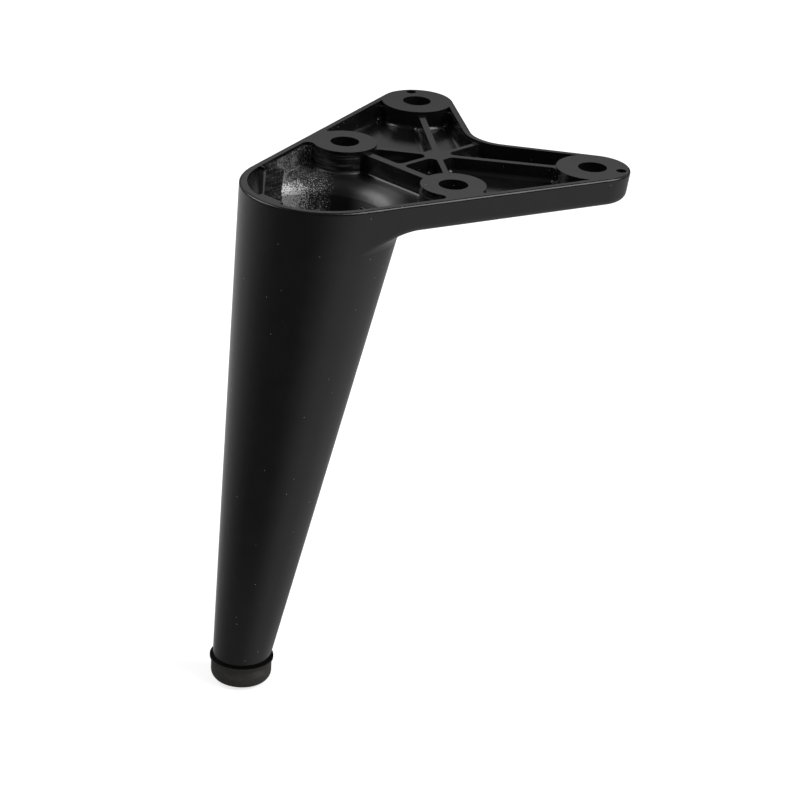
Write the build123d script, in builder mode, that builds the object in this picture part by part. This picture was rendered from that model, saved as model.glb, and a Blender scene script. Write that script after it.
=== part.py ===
from build123d import *
from math import acos, atan2, cos, degrees, hypot, radians, sin, sqrt
import os

# Splayed furniture leg. Millimetres, +Z up.
# Origin: on the mounting plane, midway between the two near screw holes.
# +X runs along the line of symmetry, away from the leg and towards the notch.

# Overall
TOTAL_HEIGHT = 150.0        # mounting plane to floor
PLATE_DEPTH = 8.6           # mounting plane to the plate's underside
CASTING_HEIGHT = 142.2      # mounting plane to the casting's lower end

# Screw holes
HOLE_DIAMETER = 8.5         # clears an M8 screw
NEAR_HOLE_SPACING = 44.9    # the pair beside the leg
FAR_HOLE_SPACING = 72.7     # the pair in the tabs
HOLE_ROW_DISTANCE = 43.4    # from one pair to the other, along X

# Plate outline at the mounting plane
LEG_TO_NEAR_HOLES = 28.8    # leg centre to the near pair, along X
CORNER_RADIUS = 24.5        # about the leg centre, and the leg's radius there
TAB_RADIUS = 11.2           # about each far hole
NOTCH_RADIUS = 11.9
NOTCH_DEPTH_X = 34.8        # the notch's nearest point to the origin, along X
SIDE_LEAN = 0.125           # how far the plate's sides lean inwards for each mm down
TOP_EDGE_RADIUS = 0.7
BOTTOM_EDGE_RADIUS = 2.4

# Leg: a slanting cone whose sections stay parallel to the plate
LEG_SHIFT = 0.1798          # sideways, towards -X, for each mm down
LEG_END_RADIUS = 8.55
FLARE_SINK = 0.05           # how far a trumpet's thin end runs into the wall it meets
LEG_FLARE_RADIUS = 5.8      # underside of the plate into the leg

# The open hollow inside the leg
HOLLOW_WALL = 2.3           # rim wall at the mounting plane
HOLLOW_TAPER = 0.122        # loses radius a little faster than the outside
HOLLOW_DEPTH = 116.0
MOUTH_DEPTH = 6.8           # floor between the hollow and the cross rib
MOUTH_RADIUS = 4.5          # that floor into the hollow
MOUTH_FLOOR_RADIUS = 1.0    # that floor into the near bosses and the cross rib
PAD_ANGLES = (93, 180, 267) # three flat pads down the hollow's wall, from +X
PAD_WIDTH = 8.7
PAD_END_WIDTH = 3.0
PAD_FACE = 20.2             # leg centre to a pad's face, at the mounting plane
PAD_LENGTH = 50.0
PAD_SLOPE_START = -33.8     # the two side pads' tops slope down from here, towards +X
PAD_SLOPE = 0.32

# Pockets between the ribs
RIM_WALL = 2.2
POCKET_DEPTH = 5.6
POCKET_DRAFT = 2.0          # degrees
POCKET_CORNER_RADIUS = 1.8
POCKET_FLOOR_RADIUS = 1.5
RIB_DROP = 1.0              # rib and hub tops lie this far under the mounting plane
NEAR_BOSS_RADIUS = 9.5
BOSS_TO_RIM_RADII = (1.8, 0.9)   # leg side and tab side of each near boss
FAR_BOSS_RADIUS = 10.6
HUB_X = 16.1
HUB_DIAMETER = 8.0
CROSS_RIB = 2.6             # between the two near bosses
RIB_TO_FAR = 1.8
RIB_TO_NEAR = 1.6
RIB_CENTRE = 1.5            # along the line of symmetry

# Blind dimples in the tabs
DIMPLE_DIAMETER = 3.0
DIMPLE_DEPTH = 1.6
DIMPLE_X = 48.0
DIMPLE_Y = 43.5

# Glide
SOCKET_DIAMETER = 8.0
SOCKET_DEPTH = 13.0
STEM_CLEARANCE = 0.05       # on the radius
STEM_LENGTH = 11.5
FLANGE_DIAMETER = 18.8
FLANGE_THICKNESS = 0.8
GLIDE_DIAMETER = 17.9
GLIDE_EDGE_RADIUS = 3.0

LEG_X = -LEG_TO_NEAR_HOLES
FAR_X = HOLE_ROW_DISTANCE
FAR_Y = FAR_HOLE_SPACING / 2
NEAR_Y = NEAR_HOLE_SPACING / 2


def polar(x, y, radius, angle):
    return (x + radius * cos(angle), y + radius * sin(angle))


def flip(point):
    return (point[0], -point[1])


def outline(depth, inset=0.0):
    """Plate outline at a depth, drawn in by inset. A chord closes it at the leg's corner."""
    shrink = SIDE_LEAN * depth + inset
    corner_x, corner_r = LEG_X - LEG_SHIFT * depth, leg_radius(depth) - inset
    tab_r, notch_r = TAB_RADIUS - shrink, NOTCH_RADIUS + shrink
    notch_x = NOTCH_DEPTH_X + NOTCH_RADIUS
    to_tab = atan2(FAR_Y, FAR_X - corner_x)
    side = to_tab + acos((corner_r - tab_r) / hypot(FAR_X - corner_x, FAR_Y))
    to_notch = atan2(-FAR_Y, notch_x - FAR_X)
    flank = to_notch + acos((tab_r + notch_r) / hypot(notch_x - FAR_X, FAR_Y))
    corner = polar(corner_x, 0, corner_r, side)
    tab_in = polar(FAR_X, FAR_Y, tab_r, side)
    tab_mid = polar(FAR_X, FAR_Y, tab_r, (side + flank) / 2)
    tab_out = polar(FAR_X, FAR_Y, tab_r, flank)
    notch_in = (notch_x - notch_r * cos(flank), -notch_r * sin(flank))
    with BuildSketch(Plane.XY.offset(-depth)) as face:
        with BuildLine():
            Line(corner, tab_in)
            ThreePointArc(tab_in, tab_mid, tab_out)
            Line(tab_out, notch_in)
            ThreePointArc(notch_in, (notch_x - notch_r, 0), flip(notch_in))
            Line(flip(notch_in), flip(tab_out))
            ThreePointArc(flip(tab_out), flip(tab_mid), flip(tab_in))
            Line(flip(tab_in), flip(corner))
            Line(flip(corner), corner)
        make_face()
    return face.sketch


def ring(depth, radius):
    """Circle about the leg's slanting axis, at a depth below the mounting plane."""
    with BuildSketch(Plane.XY.offset(-depth)) as circle:
        with Locations((LEG_X - LEG_SHIFT * depth, 0)):
            Circle(radius)
    return circle.sketch


def leg_radius(depth):
    return CORNER_RADIUS - (CORNER_RADIUS - LEG_END_RADIUS) * depth / CASTING_HEIGHT


def hollow_radius(depth):
    return CORNER_RADIUS - HOLLOW_WALL - HOLLOW_TAPER * depth


def flare(depth, radius_at, flare_radius, ring_count=9):
    """A trumpet: a plane at this depth curving down into the leg's or hollow's wall."""
    with BuildPart() as trumpet:
        for i in range(ring_count):
            turn = radians(90 - 90 * i / (ring_count - 1))
            level = depth + flare_radius * (1 - sin(turn))
            add(ring(level, radius_at(level) + flare_radius * (1 - cos(turn)) - FLARE_SINK))
        loft()
    return trumpet.part


def bar(start, end, width):
    """A straight rib seen from above."""
    run, rise = end[0] - start[0], end[1] - start[1]
    middle = ((start[0] + end[0]) / 2, (start[1] + end[1]) / 2)
    with Locations(Location((*middle, 0), (0, 0, degrees(atan2(rise, run))))):
        Rectangle(hypot(run, rise), width)


near_holes = [(0, NEAR_Y), (0, -NEAR_Y)]
far_holes = [(FAR_X, FAR_Y), (FAR_X, -FAR_Y)]
hub = (HUB_X, 0)

# Outside of the casting
flare_depth = PLATE_DEPTH + LEG_FLARE_RADIUS
with BuildPart() as underside:
    with BuildSketch():
        Rectangle(4 * TOTAL_HEIGHT, 4 * TOTAL_HEIGHT)
    extrude(amount=-PLATE_DEPTH)
    add(flare(PLATE_DEPTH, leg_radius, LEG_FLARE_RADIUS))

with BuildPart() as plate:
    add(outline(0))
    add(outline(flare_depth))
    loft(ruled=True)
    add(underside.part, mode=Mode.INTERSECT)
    lower = plate.edges().filter_by_position(Axis.Z, -PLATE_DEPTH - 0.01, -PLATE_DEPTH + 0.01)
    past_flare = LEG_X - LEG_SHIFT * PLATE_DEPTH + leg_radius(PLATE_DEPTH) + LEG_FLARE_RADIUS
    fillet([edge for edge in lower if edge.bounding_box().max.X > past_flare], radius=BOTTOM_EDGE_RADIUS)

with BuildPart() as leg_cone:
    for start, end in ((0, flare_depth), (flare_depth, CASTING_HEIGHT)):
        add(ring(start, leg_radius(start)))
        add(ring(end, leg_radius(end)))
        loft(ruled=True)

with BuildPart() as leg_casting:
    add(plate.part)
    add(leg_cone.part)
    rim = leg_casting.faces().sort_by(Axis.Z)[-1].outer_wire().edges()
    fillet(rim, radius=TOP_EDGE_RADIUS)

# The hollow: a slanting blind cone with three flat pads left on its wall
with BuildPart() as hollow:
    add(ring(0, hollow_radius(0)))
    add(ring(HOLLOW_DEPTH, hollow_radius(HOLLOW_DEPTH)))
    loft(ruled=True)
    fillet(hollow.edges().group_by(Axis.Z)[0], radius=hollow_radius(HOLLOW_DEPTH) * 0.8)

with BuildPart() as pads:
    for angle in PAD_ANGLES:
        outward = (cos(radians(angle)), sin(radians(angle)), 0)
        for depth, width in ((0, PAD_WIDTH), (PAD_LENGTH, PAD_END_WIDTH)):
            middle = (LEG_X - LEG_SHIFT * depth, 0, -depth)
            face = PAD_FACE * hollow_radius(depth) / hollow_radius(0)
            with BuildSketch(Plane(origin=middle, x_dir=outward)):
                with Locations((face + 3, 0)):
                    Rectangle(6, width)
        loft(ruled=True)
    split(bisect_by=Plane(origin=(PAD_SLOPE_START, 0, 0), z_dir=(PAD_SLOPE, 0, 1)), keep=Keep.BOTTOM)

# Bosses seen from above; each near boss runs into the rim through two small radii
side_angle = atan2(FAR_Y, FAR_X - LEG_X) + acos(
    (CORNER_RADIUS - TAB_RADIUS) / hypot(FAR_X - LEG_X, FAR_Y))
boss_to_rim = CORNER_RADIUS - RIM_WALL - (
    LEG_TO_NEAR_HOLES * cos(side_angle) + NEAR_Y * sin(side_angle))
with BuildSketch() as near_boss:
    Circle(NEAR_BOSS_RADIUS)
    for toward, radius in zip((-1, 1), BOSS_TO_RIM_RADII):
        centre_out = boss_to_rim - radius
        reach = NEAR_BOSS_RADIUS + radius
        centre = (toward * sqrt(reach ** 2 - centre_out ** 2), centre_out)
        touch = (centre[0] * NEAR_BOSS_RADIUS / reach, centre[1] * NEAR_BOSS_RADIUS / reach)
        with BuildLine():
            Polyline((0, 0), touch, centre, (centre[0], boss_to_rim + RIM_WALL / 2),
                     (0, boss_to_rim + RIM_WALL / 2), close=True)
        make_face()
        with Locations(centre):
            Circle(radius, mode=Mode.SUBTRACT)

with BuildSketch() as bosses:
    boss_turn = degrees(side_angle) - 90
    with Locations(Location((0, NEAR_Y, 0), (0, 0, boss_turn))):
        add(near_boss.sketch)
    mirror(about=Plane.XZ)
    with Locations(*far_holes):
        Circle(FAR_BOSS_RADIUS)

with BuildSketch() as rim_inside:
    add(outline(0, RIM_WALL))

# The mouth: a floor between the hollow and the cross rib, curving down into the hollow
with BuildSketch() as mouth_plan:
    add(rim_inside.sketch)
    add(bosses.sketch, mode=Mode.SUBTRACT)
    with Locations((60 - CROSS_RIB / 2, 0)):
        Rectangle(120, 120, mode=Mode.SUBTRACT)

with BuildPart() as mouth:
    add(mouth_plan.sketch)
    extrude(amount=-MOUTH_DEPTH)
    floor_edges = mouth.edges().group_by(Axis.Z)[0].sort_by(Axis.X)[1:]
    fillet(floor_edges, radius=MOUTH_FLOOR_RADIUS)

with BuildSketch() as funnel_plan:
    add(mouth_plan.sketch)
    offset(amount=-MOUTH_FLOOR_RADIUS, kind=Kind.INTERSECTION, mode=Mode.REPLACE)

with BuildPart() as funnel:
    add(funnel_plan.sketch)
    extrude(amount=-MOUTH_DEPTH - MOUTH_RADIUS)
    add(flare(MOUTH_DEPTH, hollow_radius, MOUTH_RADIUS), mode=Mode.INTERSECT)

# Pockets between rim, bosses, ribs and hub
with BuildSketch() as ribs:
    with Locations(hub):
        Circle(HUB_DIAMETER / 2)
    for hole in near_holes:
        bar(hub, hole, RIB_TO_NEAR)
    for hole in far_holes:
        bar(hub, hole, RIB_TO_FAR)
    bar((0, 0), (NOTCH_DEPTH_X, 0), RIB_CENTRE)
    with Locations((-60 + CROSS_RIB / 2, 0)):
        Rectangle(120, 120)

with BuildSketch() as pocket_plan:
    add(rim_inside.sketch)
    add(bosses.sketch, mode=Mode.SUBTRACT)
    add(ribs.sketch, mode=Mode.SUBTRACT)
    offset(amount=-POCKET_CORNER_RADIUS, kind=Kind.INTERSECTION, mode=Mode.REPLACE)
    offset(amount=POCKET_CORNER_RADIUS, kind=Kind.ARC, mode=Mode.REPLACE)

with BuildPart() as pockets:
    add(pocket_plan.sketch)
    extrude(amount=-POCKET_DEPTH, taper=POCKET_DRAFT)
    fillet(pockets.edges().group_by(Axis.Z)[0], radius=POCKET_FLOOR_RADIUS)

with BuildPart() as rib_relief:
    with BuildSketch():
        add(rim_inside.sketch)
        add(bosses.sketch, mode=Mode.SUBTRACT)
    extrude(amount=-RIB_DROP)

# The casting
with BuildPart() as hollow_cut:
    add(hollow.part)
    add(mouth.part)
    add(funnel.part)
    add(rib_relief.part)
    add(pads.part, mode=Mode.SUBTRACT)

with leg_casting:
    add(hollow_cut.part, mode=Mode.SUBTRACT)
    add(pockets.part, mode=Mode.SUBTRACT)
    with Locations(*near_holes, *far_holes):
        Hole(HOLE_DIAMETER / 2)
    with Locations((DIMPLE_X, DIMPLE_Y), (DIMPLE_X, -DIMPLE_Y)):
        Hole(DIMPLE_DIAMETER / 2, depth=DIMPLE_DEPTH)
    with Locations(Location((LEG_X - LEG_SHIFT * CASTING_HEIGHT, 0, -CASTING_HEIGHT), (180, 0, 0))):
        Hole(SOCKET_DIAMETER / 2, depth=SOCKET_DEPTH)

# Glide: stem, flange and foot in one moulding
foot_x = LEG_X - LEG_SHIFT * CASTING_HEIGHT
with BuildPart() as foot_glide:
    with BuildSketch(Plane.XY.offset(-CASTING_HEIGHT)):
        with Locations((foot_x, 0)):
            Circle(SOCKET_DIAMETER / 2 - STEM_CLEARANCE)
    extrude(amount=STEM_LENGTH)
    chamfer(foot_glide.edges().group_by(Axis.Z)[-1], length=0.8)
    with BuildSketch(Plane.XY.offset(-CASTING_HEIGHT)):
        with Locations((foot_x, 0)):
            Circle(FLANGE_DIAMETER / 2)
    extrude(amount=-FLANGE_THICKNESS)
    with BuildSketch(Plane.XY.offset(-CASTING_HEIGHT - FLANGE_THICKNESS)):
        with Locations((foot_x, 0)):
            Circle(GLIDE_DIAMETER / 2)
    extrude(amount=-(TOTAL_HEIGHT - CASTING_HEIGHT - FLANGE_THICKNESS))
    fillet(foot_glide.edges().group_by(Axis.Z)[0], radius=GLIDE_EDGE_RADIUS)

os.makedirs("parts", exist_ok=True)
leg_casting.part.label = "leg_casting"
export_step(leg_casting.part, "parts/leg_casting.step")
foot_glide.part.label = "foot_glide"
export_step(foot_glide.part, "parts/foot_glide.step")
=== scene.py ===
# %% [markdown]
# # A splayed furniture leg in satin black
#
# The leg is one die casting: a triangular mounting plate with ribs and four screw bosses,
# and a hollow cone that leans out under the plate's round corner. A plastic glide is
# pressed into the small end. Both pieces come from the CAD frame with their true shape,
# so this lesson is about what the CAD can't carry: the powder coat, the places where the
# powder hardly reached the metal, the moulded plastic, and a studio in which a black
# thing shows its form.

import math

import bpy
import numpy as np
from mathutils import Matrix, Vector


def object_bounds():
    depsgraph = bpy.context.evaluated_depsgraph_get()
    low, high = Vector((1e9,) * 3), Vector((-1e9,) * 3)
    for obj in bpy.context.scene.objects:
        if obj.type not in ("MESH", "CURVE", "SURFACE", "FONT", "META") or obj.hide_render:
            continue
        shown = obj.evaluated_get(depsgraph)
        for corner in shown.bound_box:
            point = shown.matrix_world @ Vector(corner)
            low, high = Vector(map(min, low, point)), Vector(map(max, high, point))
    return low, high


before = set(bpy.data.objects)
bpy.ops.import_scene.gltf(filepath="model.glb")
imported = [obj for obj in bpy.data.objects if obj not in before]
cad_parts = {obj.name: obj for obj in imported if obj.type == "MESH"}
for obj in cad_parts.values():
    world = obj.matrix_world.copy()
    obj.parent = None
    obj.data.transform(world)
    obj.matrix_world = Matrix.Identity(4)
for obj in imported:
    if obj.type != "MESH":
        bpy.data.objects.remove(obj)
cad_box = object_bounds()
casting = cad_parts["leg_casting"]
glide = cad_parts["foot_glide"]
print("pieces in the frame:", sorted(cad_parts))

# %% [markdown]
# ## The leg's own lines
#
# Several finishes change with the place on the casting, such as the bare wall of the
# hollow. To find those places, a material needs the same lines that the shape was drawn
# from: the leg's slanting axis, the wall halfway between its inside and its outside, and
# the plate's straight sides. They are kept here in metres, as Blender has them.

# %% Driving dimensions, in metres
MM = 0.001
LEG_X = -28.8 * MM              # leg centre on the mounting plane
LEG_SHIFT = 0.1798              # the axis moves this far towards -X for each unit down
LEG_LENGTH = 142.2 * MM         # mounting plane to the casting's lower end
OUTER_RADIUS = 24.5 * MM        # leg outside, at the mounting plane
OUTER_TAPER = 0.1122            # radius lost for each unit down
RIM_WALL = 2.2 * MM
HOLLOW_WALL = 2.3 * MM
HOLLOW_TAPER = 0.122
CROSS_RIB = 2.6 * MM            # the rib across the plate, between the near bosses
MOUTH_FLOOR = -6.8 * MM         # the floor between that rib and the hollow
FUNNEL_END = -11.3 * MM         # where the floor has curved down into the hollow's wall
PAD_FACE = 20.2 * MM            # leg centre to the pads on the hollow's wall
PAD_HALF = 4.35 * MM            # half a pad's width
PAD_FLANK = 4.95 * MM           # a pad's side, a little below its top
NEAR_HOLE_Y = 22.45 * MM
NEAR_BOSS = 9.5 * MM
FAR_HOLE = (43.4 * MM, 36.35 * MM)
TAB_RADIUS = 11.2 * MM

reach = (FAR_HOLE[0] - LEG_X, FAR_HOLE[1])
side_angle = math.atan2(reach[1], reach[0]) + math.acos(
    (OUTER_RADIUS - TAB_RADIUS) / math.hypot(*reach))
side_normal = (math.cos(side_angle), math.sin(side_angle))
print("the plate's straight sides face", round(math.degrees(side_angle), 1), "degrees from +X")

# %% [markdown]
# ## Small words for nodes
#
# A shader graph written node by node hides its idea. These helpers let a material read
# like arithmetic: each adds one Math or texture node, or a short chain of them, links what
# it is given, and hands back the output socket.

# %% Node helpers
class Recipe:
    """One material's node tree, with short names for the nodes that the recipes use."""

    def __init__(self, name):
        self.material = bpy.data.materials.new(name)
        self.material.use_nodes = True
        self.tree = self.material.node_tree
        self.shader = self.tree.nodes["Principled BSDF"]

    def add(self, kind, inputs=(), **settings):
        node = self.tree.nodes.new(kind)
        for key, value in settings.items():
            setattr(node, key, value)
        for key, value in dict(inputs).items():
            self.feed(value, node.inputs[key])
        return node

    def feed(self, value, socket):
        """Links a socket, or sets a plain number or colour."""
        if isinstance(value, bpy.types.NodeSocket):
            self.tree.links.new(value, socket)
        else:
            socket.default_value = value

    def math(self, operation, a, b=0.0):
        node = self.add("ShaderNodeMath", {0: a, 1: b}, operation=operation)
        return node.outputs[0]

    def plus(self, a, b):
        return self.math("ADD", a, b)

    def minus(self, a, b):
        return self.math("SUBTRACT", a, b)

    def times(self, a, b):
        return self.math("MULTIPLY", a, b)

    def larger(self, a, b):
        return self.math("MAXIMUM", a, b)

    def size(self, a):
        """The value without its sign."""
        return self.math("ABSOLUTE", a)

    def length(self, *parts):
        """How long a vector with these parts is: the root of the sum of their squares."""
        squares = [self.times(part, part) for part in parts]
        total = squares.pop()
        while squares:
            total = self.plus(squares.pop(), total)
        return self.math("SQRT", total)

    def ramp(self, value, start, end, low=0.0, high=1.0):
        """A soft step: low before start, high after end, smooth between."""
        node = self.add("ShaderNodeMapRange", {"Value": value}, interpolation_type="SMOOTHSTEP")
        for key, number in (("From Min", start), ("From Max", end), ("To Min", low), ("To Max", high)):
            node.inputs[key].default_value = number
        return node.outputs[0]

    def place(self):
        """Object coordinates as three sockets, in metres."""
        split = self.add("ShaderNodeSeparateXYZ", {0: self.coordinates()})
        return split.outputs[0], split.outputs[1], split.outputs[2]

    def coordinates(self):
        return self.add("ShaderNodeTexCoord").outputs["Object"]

    def noise(self, size, detail=2.0, stretch=(1, 1, 1)):
        """Noise whose blotches are about this many metres across."""
        scaled = self.add("ShaderNodeMapping", {"Vector": self.coordinates(), "Scale": stretch})
        node = self.add("ShaderNodeTexNoise", {"Vector": scaled.outputs[0], "Scale": 1 / size,
                                               "Detail": detail})
        return node.outputs["Fac"]

    def mix(self, factor, a, b):
        """A colour that goes from a to b."""
        node = self.add("ShaderNodeMix", data_type="RGBA")
        self.feed(factor, node.inputs[0])
        self.feed(a, node.inputs[6])
        self.feed(b, node.inputs[7])
        return node.outputs[2]

    def bump(self, height, distance, normal=None):
        """Bump whose full height is this many metres."""
        node = self.add("ShaderNodeBump", {"Height": height, "Distance": distance})
        if normal is not None:
            self.feed(normal, node.inputs["Normal"])
        return node.outputs[0]


def grey(level, warm=0.0):
    """A linear grey, a little warm or cool."""
    return (level * (1 + warm), level, level * (1 - warm), 1)


# %% [markdown]
# ## Where the powder is thin
#
# Powder is sprayed on and clings by charge. It goes round outside corners and covers the
# plate and the ribs well, but it hardly gets down the hollow leg, so the wall there stays
# a speckle of dark powder on grey metal. The masks for it are worked out from the leg's own
# lines. A point belongs to the hollow where it is nearer to the slanting axis than the
# middle of the wall, or where it lies in the open mouth that joins the hollow to the plate.
# The mask's side edges run inside the walls, where they can't be seen, and its top edge
# fades out just under the rim.

# %% Mask for the hollow
WALL_FADE = 0.2 * MM
FUNNEL_BULGE = 5 * MM           # how far the funnel's curve reaches past the cone's own wall
FUNNEL_SIDE = (0.1, 0.45)       # cosine from +X where that bulge begins and is full
AXIS_FADE = 0.5 * MM
COATED_RIM = (-1.5 * MM, -0.7 * MM)     # heights between which the full coat takes over


def around_axis(r):
    """Distance from the leg's slanting axis, the x part of it, and its cosine from +X."""
    x, y, z = r.place()
    axis_x = r.plus(r.times(z, LEG_SHIFT), LEG_X)
    dx = r.minus(x, axis_x)
    from_axis = r.length(dx, y)
    return from_axis, dx, r.math("DIVIDE", dx, from_axis)


def hollow_mask(r, from_axis, dx, cosine):
    """1 inside the leg's hollow and its mouth, 0 outside, from distances to the leg's lines."""
    x, y, z = r.place()
    middle_wall = OUTER_RADIUS - HOLLOW_WALL / 2
    middle_taper = (OUTER_TAPER + HOLLOW_TAPER) / 2
    wall = r.plus(r.times(z, middle_taper), middle_wall)
    rise = r.ramp(z, FUNNEL_END, MOUTH_FLOOR)
    bulge = r.times(r.times(rise, rise), r.ramp(cosine, *FUNNEL_SIDE, 0, FUNNEL_BULGE))
    in_leg = r.ramp(r.minus(r.plus(wall, bulge), from_axis), -WALL_FADE, WALL_FADE)
    beside = r.plus(r.times(r.minus(x, LEG_X), side_normal[0]), r.times(r.size(y), side_normal[1]))
    in_rim = r.ramp(beside, OUTER_RADIUS - RIM_WALL * 0.6, OUTER_RADIUS - RIM_WALL * 0.4, 1, 0)
    before_rib = r.ramp(x, -CROSS_RIB, -CROSS_RIB * 0.8, 1, 0)
    past_axis = r.ramp(dx, -AXIS_FADE, AXIS_FADE)
    above = r.ramp(z, MOUTH_FLOOR - 1.0 * MM, MOUTH_FLOOR - 0.6 * MM)
    mouth = r.times(r.times(in_rim, above), r.times(before_rib, past_axis))
    below_top = r.ramp(z, *COATED_RIM, 1, 0)
    return r.times(r.larger(in_leg, mouth), below_top)


def steep_faces(r, dx):
    """1 on the two side pads' faces and on the near bosses' walls, which face across the hollow."""
    x, y, z = r.place()
    away = r.size(y)
    on_pad = r.times(r.ramp(r.size(dx), PAD_HALF, PAD_HALF + 0.3 * MM, 1, 0),
                     r.ramp(away, 0.5 * PAD_FACE, 0.6 * PAD_FACE))
    from_hole = r.length(x, r.minus(away, NEAR_HOLE_Y))
    on_boss = r.times(r.ramp(from_hole, NEAR_BOSS + 0.2 * MM, NEAR_BOSS + 0.5 * MM, 1, 0),
                      r.ramp(z, MOUTH_FLOOR, MOUTH_FLOOR + 0.5 * MM))
    return r.larger(on_pad, on_boss)


# %% [markdown]
# ## How much metal shows
#
# Where the powder is thin, a fine noise decides for each spot whether metal or powder
# shows. A share of metal moves that noise up or down, and the share follows the way in
# which the powder came: the mouth took the most of it, the walls beside it hardly any, and
# little shows at the back, deep down, or on the steep faces. Each fade below has four
# numbers: where the change starts, where it ends, and the value at either end.

# %% Bare specks
TO_MOUTH = (0.92, 0.25, 0, 1)                   # by the cosine from +X
TO_BACK = (-0.30, 0.05, 0.15, 1.0)              # by the same cosine
UNDER_FLOOR = (-7.2 * MM, -10.0 * MM, 0.75, 1.25)       # by height
DEEP_DOWN = (-30 * MM, -16 * MM, 0.60, 1.0)     # by height
ON_STEEP = (0, 1, 1.0, 0.2)                     # by the mask of steep faces
SOME_METAL = (0.02, 0.20, 0, 1)                 # by share: below the first, no speck at all
SPECK_EDGE = (0.745, 0.815, 0, 1)               # by the noise and share added up
SPECK_SIZE = 0.33 * MM
CLOUD_SIZE = 5 * MM                             # clouds crowd the specks here and there
CLOUD_WEIGHT = 0.20
SHARE_WEIGHT = 0.22


def bare_specks(r, hollow, steep, cosine, z):
    """1 on each speck of bare metal, 0 on powder: fine noise, cloud and share against an edge."""
    share = r.times(r.ramp(cosine, *TO_MOUTH), r.ramp(cosine, *TO_BACK))
    share = r.times(share, r.times(r.ramp(z, *UNDER_FLOOR), r.ramp(z, *DEEP_DOWN)))
    share = r.times(share, r.ramp(steep, *ON_STEEP))
    cloud = r.noise(CLOUD_SIZE, detail=2)
    speck = r.noise(SPECK_SIZE, detail=2)
    level = r.plus(r.plus(speck, r.times(cloud, CLOUD_WEIGHT)), r.times(share, SHARE_WEIGHT))
    return r.times(r.ramp(level, *SPECK_EDGE), r.times(hollow, r.ramp(share, *SOME_METAL)))


# %% [markdown]
# ## Tool marks, worn places, painted light and dust
#
# Steep faces keep the marks of the tool that shaped the mould: fine level lines, which are
# noise drawn out sideways. The mouth's lip is painted a little paler, partly as metal worn
# bare by rubbing and partly as a painted sheen. The wall behind each pad gets a painted
# gradient of light towards the pad, and a thin painted highlight runs down the pad's side.
# Specks of dust lie here and there on everything, one in a few of the cells of a Voronoi
# pattern.

# %% Marks on the coat, and painted light in the hollow
TOOL_LINE_SIZE = 0.25 * MM
TOOL_LINE_DRAW = (0.04, 0.04, 1)                # level lines: long in x and y, fine in z
TOOL_LINE_EDGE = (0.50, 0.66, 0, 1)
TOOL_LINE_METAL = 0.14

# Painted sheen and worn metal on the mouth's lip: centred here, fading with distance.
LIP_RUB_AND_SHEEN_PLACE = (-9.0 * MM, -2.0 * MM, -10.0 * MM)       # middle of the mouth's lip
LIP_RUB_AND_SHEEN = (11 * MM, 2 * MM, 0, 0.20)       # by distance from that place
# Painted light: the wall behind each pad is coloured paler towards the pad, in place of light falling
# there.
BEHIND_PAD_PAINTED_LIGHT = (-13 * MM, -PAD_HALF, 0, 0.16)     # by x from the axis
PAD_EDGE = (-PAD_HALF, -PAD_HALF + 0.1 * MM, 1, 0)      # by x from the axis, off at the pad
PAD_TOP = (-1 * MM, -8 * MM, 0, 1)              # by height
# Painted highlight: a thin pale line down each pad's side, in place of a rounded edge's highlight.
FLANK_PAINTED_HIGHLIGHT = (0.7 * MM, 0.4 * MM, 0, 0.22)      # by distance from the pad's side

DUST_CELL = 1.6 * MM
DUST_EDGE = (0.05, 0.09, 1, 0)                  # by distance from a cell's middle, in cells
DUST_RARE = 0.92                                # only cells with a random number above this
DUST_GREY = 0.35


def tool_marks(r, steep):
    """How much metal the level lines show on the steep faces."""
    lines = r.noise(TOOL_LINE_SIZE, detail=2, stretch=TOOL_LINE_DRAW)
    return r.times(r.ramp(lines, *TOOL_LINE_EDGE), r.times(steep, TOOL_LINE_METAL))


def rub_and_painted_light(r, hollow, dx, place):
    """How much paler the colour gets: worn metal with a painted sheen on the mouth's lip, and painted
    light beside the pads.
    """
    # The lip's paleness is partly metal worn by rubbing and partly a painted sheen.
    lip_rub_and_sheen = r.ramp(r.length(*(r.minus(a, b) for a, b in zip(place, LIP_RUB_AND_SHEEN_PLACE))), *LIP_RUB_AND_SHEEN)
    # Painted light on the wall behind the pad, and a painted highlight down the pad's side.
    beside_pad_painted_light = r.times(r.ramp(dx, *BEHIND_PAD_PAINTED_LIGHT), r.ramp(dx, *PAD_EDGE))
    beside_pad_painted_light = r.times(beside_pad_painted_light, r.ramp(place[2], *PAD_TOP))
    flank_painted_highlight = r.ramp(r.size(r.plus(dx, PAD_FLANK)), *FLANK_PAINTED_HIGHLIGHT)
    return r.times(r.larger(lip_rub_and_sheen, r.larger(beside_pad_painted_light, flank_painted_highlight)), hollow)


def dust_specks(r):
    """1 on small round specks, in a few of the cells of a Voronoi pattern."""
    cells = r.add("ShaderNodeTexVoronoi", {"Vector": r.coordinates(), "Scale": 1 / DUST_CELL})
    near = r.ramp(cells.outputs["Distance"], *DUST_EDGE)
    pick = r.add("ShaderNodeSeparateColor", {0: cells.outputs["Color"]})
    return r.times(near, r.math("GREATER_THAN", pick.outputs[0], DUST_RARE))


# %% [markdown]
# ## The powder coat
#
# Satin black powder is a dark colour under a soft gloss, sharp enough to draw thin light
# lines along rounded edges. Baked powder flows out almost flat, but keeps a faint orange
# peel, a millimetre or so across. In the hollow, where it lies thinly, it is rougher. The
# masks above now mix one dark colour with the grey of bare metal.

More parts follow.
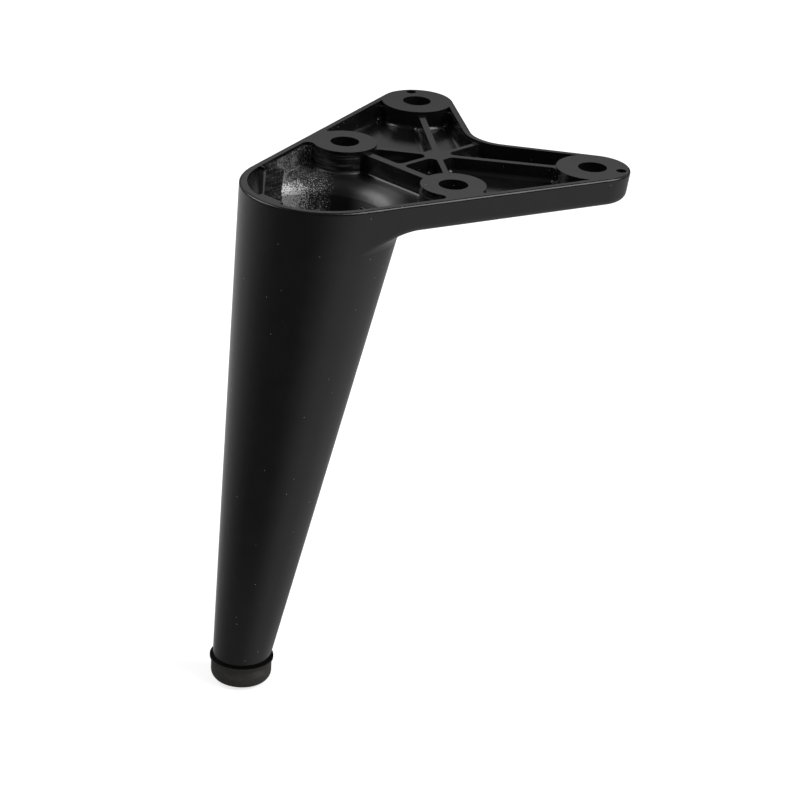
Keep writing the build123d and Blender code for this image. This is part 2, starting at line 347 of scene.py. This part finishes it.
# %% Powder coat material
COAT_COLOUR = 0.0048
COAT_WARMTH = 0.02
PATCH_SIZE = 6 * MM             # patches where the coat is a fifth darker or lighter
PATCH_TONES = (0.8, 1.2)
COAT_ROUGHNESS = 0.22
ROUGHNESS_SPREAD = 0.08
THIN_ROUGHNESS = 0.34           # where the powder lies thinly, in the hollow
BARE_METAL = 0.45
BARE_METALLIC = 0.6
MATT_ROUGHNESS = 0.5            # bare metal and dust
PEEL_SIZE = 1.1 * MM
PEEL_HEIGHT = 0.002 * MM
GRAIN_SIZE = 0.3 * MM           # the bare metal's grain
GRAIN_HEIGHT = 0.06 * MM


def powder_coat():
    r = Recipe("coated_casting")
    from_axis, dx, cosine = around_axis(r)
    hollow = hollow_mask(r, from_axis, dx, cosine)
    steep = r.times(steep_faces(r, dx), hollow)
    place = r.place()
    bare = bare_specks(r, hollow, steep, cosine, place[2])
    # The tool marks are real; the rest of this mix is worn metal and painted light.
    marks_and_painted_light = r.larger(tool_marks(r, steep), rub_and_painted_light(r, hollow, dx, place))
    dust = dust_specks(r)

    patches = r.noise(PATCH_SIZE, detail=3)
    dark, light = (grey(COAT_COLOUR * tone, COAT_WARMTH) for tone in PATCH_TONES)
    coat = r.mix(r.ramp(patches, 0.3, 0.7), dark, light)
    # Bare specks, tool marks, worn metal and the painted light in the hollow all mix the coat towards
    # the metal's grey.
    colour = r.mix(r.larger(bare, marks_and_painted_light), coat, grey(BARE_METAL))
    r.feed(r.mix(dust, colour, grey(DUST_GREY)), r.shader.inputs["Base Color"])

    smooth = r.plus(r.times(patches, ROUGHNESS_SPREAD), COAT_ROUGHNESS - ROUGHNESS_SPREAD / 2)
    smooth = r.larger(smooth, r.times(hollow, THIN_ROUGHNESS))
    rough = r.larger(smooth, r.times(r.larger(bare, dust), MATT_ROUGHNESS))
    r.feed(rough, r.shader.inputs["Roughness"])
    r.feed(r.times(bare, BARE_METALLIC), r.shader.inputs["Metallic"])
    peel = r.bump(r.noise(PEEL_SIZE, detail=1), PEEL_HEIGHT)
    grain = r.bump(r.times(r.noise(GRAIN_SIZE, detail=2), bare), GRAIN_HEIGHT, peel)
    r.feed(grain, r.shader.inputs["Normal"])
    return r.material


# %% [markdown]
# ## The glide
#
# The glide is a dark moulded plastic, duller and a touch warmer than the coat. Moulded
# plastic that has stood on floors shows a fine matt grain and small scuffs. Its flange is
# thin, and its top edge lies right under the leg's end, where hardly any light gets in, so
# that shade is painted on as a black band round the flange's top.

# %% Plastic material
GLIDE_COLOUR = 0.052
GLIDE_WARMTH = 0.04
GLIDE_GRAIN = 0.5 * MM
GLIDE_GRAIN_HEIGHT = 0.01 * MM
GLIDE_ROUGHNESS = 0.5
GLIDE_SPECULAR = 0.12
SCUFF_SIZE = 2.5 * MM
SCUFF_DRAW = (0.4, 0.4, 1)      # scuffs run round the glide
SCUFF_TONES = (0.85, 1.25)
# Painted shade: above this height the plastic is coloured near black, standing in for the shade under
# the leg's end.
PAINTED_SHADE_FROM = -142.6 * MM         # above this the flange lies in the leg's shade
PAINTED_SHADE_FADE = 0.05 * MM
PAINTED_SHADE_GREY = 0.001


def glide_plastic():
    r = Recipe("glide")
    height = r.place()[2]
    grain = r.noise(GLIDE_GRAIN, detail=3)
    scuffs = r.ramp(r.noise(SCUFF_SIZE, detail=4, stretch=SCUFF_DRAW), 0.50, 0.70)
    plain, scuffed = (grey(GLIDE_COLOUR * tone, GLIDE_WARMTH) for tone in SCUFF_TONES)
    # Painted shade: the flange's top is coloured near black where the leg's end shades it.
    painted_shade = r.ramp(height, PAINTED_SHADE_FROM - PAINTED_SHADE_FADE, PAINTED_SHADE_FROM + PAINTED_SHADE_FADE)
    colour = r.mix(painted_shade, r.mix(scuffs, plain, scuffed), grey(PAINTED_SHADE_GREY))
    r.feed(colour, r.shader.inputs["Base Color"])
    r.feed(r.plus(r.times(grain, 0.15), GLIDE_ROUGHNESS), r.shader.inputs["Roughness"])
    r.shader.inputs["Specular IOR Level"].default_value = GLIDE_SPECULAR
    r.feed(r.bump(grain, GLIDE_GRAIN_HEIGHT), r.shader.inputs["Normal"])
    return r.material


def dress(node, material):
    """Puts a material in every slot of a CAD node and leaves its mesh as it is."""
    for slot in node.material_slots:
        slot.material = material
    print(node.name, "wears", material.name)


dress(casting, powder_coat())
dress(glide, glide_plastic())

# %% [markdown]
# ## The camera
#
# The photograph was taken from above the plate's corner with a long lens. Its place came
# from matching the four screw holes, the plate's outline and the leg's two edges, so it is
# stated as a place, a point to look at, a small roll and a lens.

# %% Camera
CAMERA_PLACE = Vector((-633.73, -624.98, 319.75)) * MM
LOOK_AT = Vector((-4.593, -10.679, -70.032)) * MM
CAMERA_ROLL = math.radians(3.295)
LENS = 147.04

camera_data = bpy.data.cameras.new("camera")
camera_data.lens = LENS
camera_data.sensor_width = 36
camera_data.clip_start = 0.05
camera_data.clip_end = 50
camera = bpy.data.objects.new("camera", camera_data)
aim = (LOOK_AT - CAMERA_PLACE).to_track_quat("-Z", "Y").to_matrix()
turn = aim @ Matrix.Rotation(CAMERA_ROLL, 3, "Z")
camera.matrix_world = Matrix.Translation(CAMERA_PLACE) @ turn.to_4x4()
bpy.context.scene.collection.objects.link(camera)
bpy.context.scene.camera = camera
print("camera is", round((LOOK_AT - CAMERA_PLACE).length, 3), "m from what it looks at")

# %% [markdown]
# ## The floor
#
# The object stands on a white floor that runs out of sight. The floor takes the object's
# shadow as a plain diffuse surface, and rays that see it directly get some light added, so
# it turns white without more light on the object. From below it is clear, so that a view
# from there still shows the glide.

# %% Floor
def stage_object(name, vertices, faces):
    mesh = bpy.data.meshes.new(name)
    mesh.from_pydata(vertices, [], faces)
    obj = bpy.data.objects.new(name, mesh)
    bpy.context.scene.collection.objects.link(obj)
    return obj


def seen_directly(tree):
    """1 for camera, glossy and transmission rays, which all see the same background."""
    path = tree.nodes.new("ShaderNodeLightPath")
    total = path.outputs["Is Camera Ray"]
    for name in ("Is Glossy Ray", "Is Transmission Ray"):
        node = tree.nodes.new("ShaderNodeMath")
        node.operation = "MAXIMUM"
        tree.links.new(total, node.inputs[0])
        tree.links.new(path.outputs[name], node.inputs[1])
        total = node.outputs[0]
    return total


FLOOR_Z = cad_box[0][2]
FLOOR_GAP = 0.05 * MM           # the floor lies this little below the glide
FLOOR_SIZE = 6.0
FLOOR_COLOUR = 0.50
FLOOR_LIFT = 0.75

corners = [(x * FLOOR_SIZE, y * FLOOR_SIZE, FLOOR_Z - FLOOR_GAP)
           for x, y in ((-1, -1), (1, -1), (1, 1), (-1, 1))]
floor = stage_object("floor", corners, [(0, 1, 2, 3)])
r = Recipe("pale_floor")
r.tree.nodes.remove(r.shader)
paint = r.add("ShaderNodeBsdfDiffuse", {"Color": grey(FLOOR_COLOUR)})
lift = r.times(seen_directly(r.tree), FLOOR_LIFT)
glow = r.add("ShaderNodeEmission", {"Color": grey(1.0), "Strength": lift})
both = r.add("ShaderNodeAddShader", {0: paint.outputs[0], 1: glow.outputs[0]})
clear = r.add("ShaderNodeBsdfTransparent")
below = r.add("ShaderNodeNewGeometry").outputs["Backfacing"]
pick = r.add("ShaderNodeMixShader", {0: below, 1: both.outputs[0], 2: clear.outputs[0]})
r.feed(pick.outputs[0], r.tree.nodes["Material Output"].inputs["Surface"])
floor.data.materials.append(r.material)
print("floor at z =", round(FLOOR_Z, 4))

# %% [markdown]
# ## The flag
#
# Black shows its surroundings more than its own colour. A white studio alone would turn
# the whole leg grey, so a photographer puts flags, black cards, where the gloss would
# mirror white. Here one card does it all, and only gloss sees it. Over the floor it is a
# grey mat, black in front of the object, and the leg mirrors it as the deep stripe down
# its middle with paler flanks. Beyond the floor it stands up as a dark dome, open only
# behind the object in a band about 20 to 36 degrees up, where the flat top faces find
# their grey. How much of the light it holds back is worked out at each point, and kept in
# an attribute.

# %% The card's shape
FLAG_RADIUS = 1.6
FLAG_LIFT = 0.03 * MM           # the mat lies this little above the glide's underside
MAT_RINGS = 40
DOME_RINGS = 45
SPOKES = 145

foot = Vector((LEG_X - LEG_SHIFT * LEG_LENGTH, 0, FLOOR_Z))
to_camera = CAMERA_PLACE - foot
ahead = Vector((to_camera.x, to_camera.y, 0)).normalized()
aside = Vector((-ahead.y, ahead.x, 0))      # to the right in the photograph


def grid_faces(rows, columns):
    """Quads of a rows by columns grid of points."""
    corner = (np.arange(rows - 1)[:, None] * columns + np.arange(columns - 1)[None, :]).ravel()
    return np.stack([corner, corner + 1, corner + columns + 1, corner + columns], axis=1)


# The card's profile runs out over the floor from the foot, then up a dome. Its height
# angle is 0 on the floor and on the dome's foot, and 90 degrees overhead.
mat_radius = np.geomspace(1.0 * MM, FLAG_RADIUS, MAT_RINGS)
mat = np.stack([mat_radius, np.full(MAT_RINGS, FLAG_LIFT), np.zeros(MAT_RINGS)], axis=1)
climb = np.radians(np.linspace(2, 90, DOME_RINGS))
dome = np.stack([FLAG_RADIUS * np.cos(climb), FLAG_RADIUS * np.sin(climb), np.degrees(climb)], axis=1)
profile = np.concatenate([mat, dome])
bearing = np.linspace(-180, 180, SPOKES)    # 0 towards the camera, positive to its right
around = np.radians(bearing)[None, :]
flat = np.cos(around)[..., None] * np.array(ahead) + np.sin(around)[..., None] * np.array(aside)
points = (np.array(foot) + profile[:, 0][:, None, None] * flat
          + profile[:, 1][:, None, None] * np.array((0.0, 0.0, 1.0)))
flag = stage_object("flag", points.reshape(-1, 3).tolist(), grid_faces(*points.shape[:2]).tolist())
print("flag:", points.shape[0] * points.shape[1], "points")

# %% How much each part of the card holds back
GREY_MAT = 0.56                 # over the floor, beside the object
DARK_WALL = 0.97
BACK_WALL = 0.30                # in the opening behind the object
FRONT_NEAR = 0.58               # how far the mat goes from grey to full in front, at the foot
FRONT_FAR = 0.27                # and what is added to that further out
FRONT_OUT = (30 * MM, 160 * MM)         # by distance from the foot
FRONT_FROM = (-150, -45)        # bearings, in degrees, between which each change runs
FRONT_TO = (58, -14)
BACK_DARKER = 0.2               # added to the mat behind the object, at its right
BACK_FROM = (85, 135)
OPENING_FROM = (80, 110)
OPENING_BOTTOM = (20, 28)       # degrees above the floor
OPENING_TOP = (36, 28)
WALL_FROM = (0, 4)


def smooth_step(value, start, end):
    """0 before start, 1 after end, and a smooth s-curve between. It also runs downwards."""
    t = np.clip((value - start) / (end - start), 0, 1)
    return t * t * (3 - 2 * t)


height = profile[:, 2][:, None]
far_out = smooth_step(profile[:, 0][:, None], *FRONT_OUT)
in_front = smooth_step(bearing, *FRONT_FROM) * smooth_step(bearing, *FRONT_TO)
in_front = in_front * (FRONT_NEAR + FRONT_FAR * far_out)
on_floor = GREY_MAT + (1 - GREY_MAT) * in_front + BACK_DARKER * smooth_step(bearing, *BACK_FROM)
opening = smooth_step(np.abs(bearing), *OPENING_FROM) * smooth_step(height, *OPENING_BOTTOM)
opening = opening * smooth_step(height, *OPENING_TOP)
on_dome = DARK_WALL - (DARK_WALL - BACK_WALL) * opening
cover = np.clip(on_floor + (on_dome - on_floor) * smooth_step(height, *WALL_FROM), 0, 1)

layer = flag.data.attributes.new("cover", "FLOAT", "POINT")
layer.data.foreach_set("value", cover.astype(np.float32).ravel())
print("mean cover", round(float(cover.mean()), 2))

# %% The card's material
FLAG_BLACK = 0.05

r = Recipe("black_flag")
r.tree.nodes.remove(r.shader)
black = r.add("ShaderNodeEmission", {"Color": grey(FLAG_BLACK), "Strength": 1.0})
clear = r.add("ShaderNodeBsdfTransparent")
how_much = r.add("ShaderNodeAttribute", attribute_name="cover").outputs["Fac"]
card = r.add("ShaderNodeMixShader", {0: how_much, 1: clear.outputs[0], 2: black.outputs[0]})
r.feed(card.outputs[0], r.tree.nodes["Material Output"].inputs["Surface"])
flag.data.materials.append(r.material)
for kind_of_ray in ("camera", "diffuse", "shadow", "transmission"):
    setattr(flag, "visible_" + kind_of_ray, False)
print("only gloss sees", flag.name)

# %% [markdown]
# ## Lamps and world
#
# Two softboxes high at the sides draw the thin light lines along the rounded edges. A
# third one overhead would fill the mouth with light, so there is none. The world lights
# the object softly from all round, and is white for every ray that sees it directly.

# %% Lamps
STUDIO_CENTRE = Vector((0, 0, -50 * MM))
UP = Vector((0, 0, 1))


def softbox(name, toward, distance, size, power):
    """A square area lamp, aimed at the middle of the object."""
    data = bpy.data.lights.new(name, "AREA")
    data.shape = "SQUARE"
    data.size = size
    data.energy = power
    lamp = bpy.data.objects.new(name, data)
    place = STUDIO_CENTRE + toward.normalized() * distance
    lamp.matrix_world = (Matrix.Translation(place)
                         @ (STUDIO_CENTRE - place).to_track_quat("-Z", "Y").to_matrix().to_4x4())
    bpy.context.scene.collection.objects.link(lamp)
    print(name, "stands at", [round(value, 2) for value in place])


softbox("right_side", 0.9 * aside + 0.2 * ahead + 1.1 * UP, distance=1.2, size=0.9, power=12)
softbox("left_side", -0.94 * aside - 0.34 * ahead + 0.8 * UP, distance=1.2, size=0.7, power=5)

# %% World
WORLD_LIGHT = 0.30              # on the object
WORLD_WHITE = 1.0               # seen directly

world = bpy.data.worlds.new("studio")
bpy.context.scene.world = world
world.use_nodes = True
tree = world.node_tree
background = tree.nodes["Background"]
background.inputs["Color"].default_value = (1, 1, 1, 1)
strength = tree.nodes.new("ShaderNodeMapRange")
strength.inputs["To Min"].default_value = WORLD_LIGHT
strength.inputs["To Max"].default_value = WORLD_WHITE
tree.links.new(seen_directly(tree), strength.inputs["Value"])
tree.links.new(strength.outputs[0], background.inputs["Strength"])
bpy.context.scene.view_settings.view_transform = "Standard"
print("world gives", WORLD_LIGHT, "and is seen at", WORLD_WHITE)
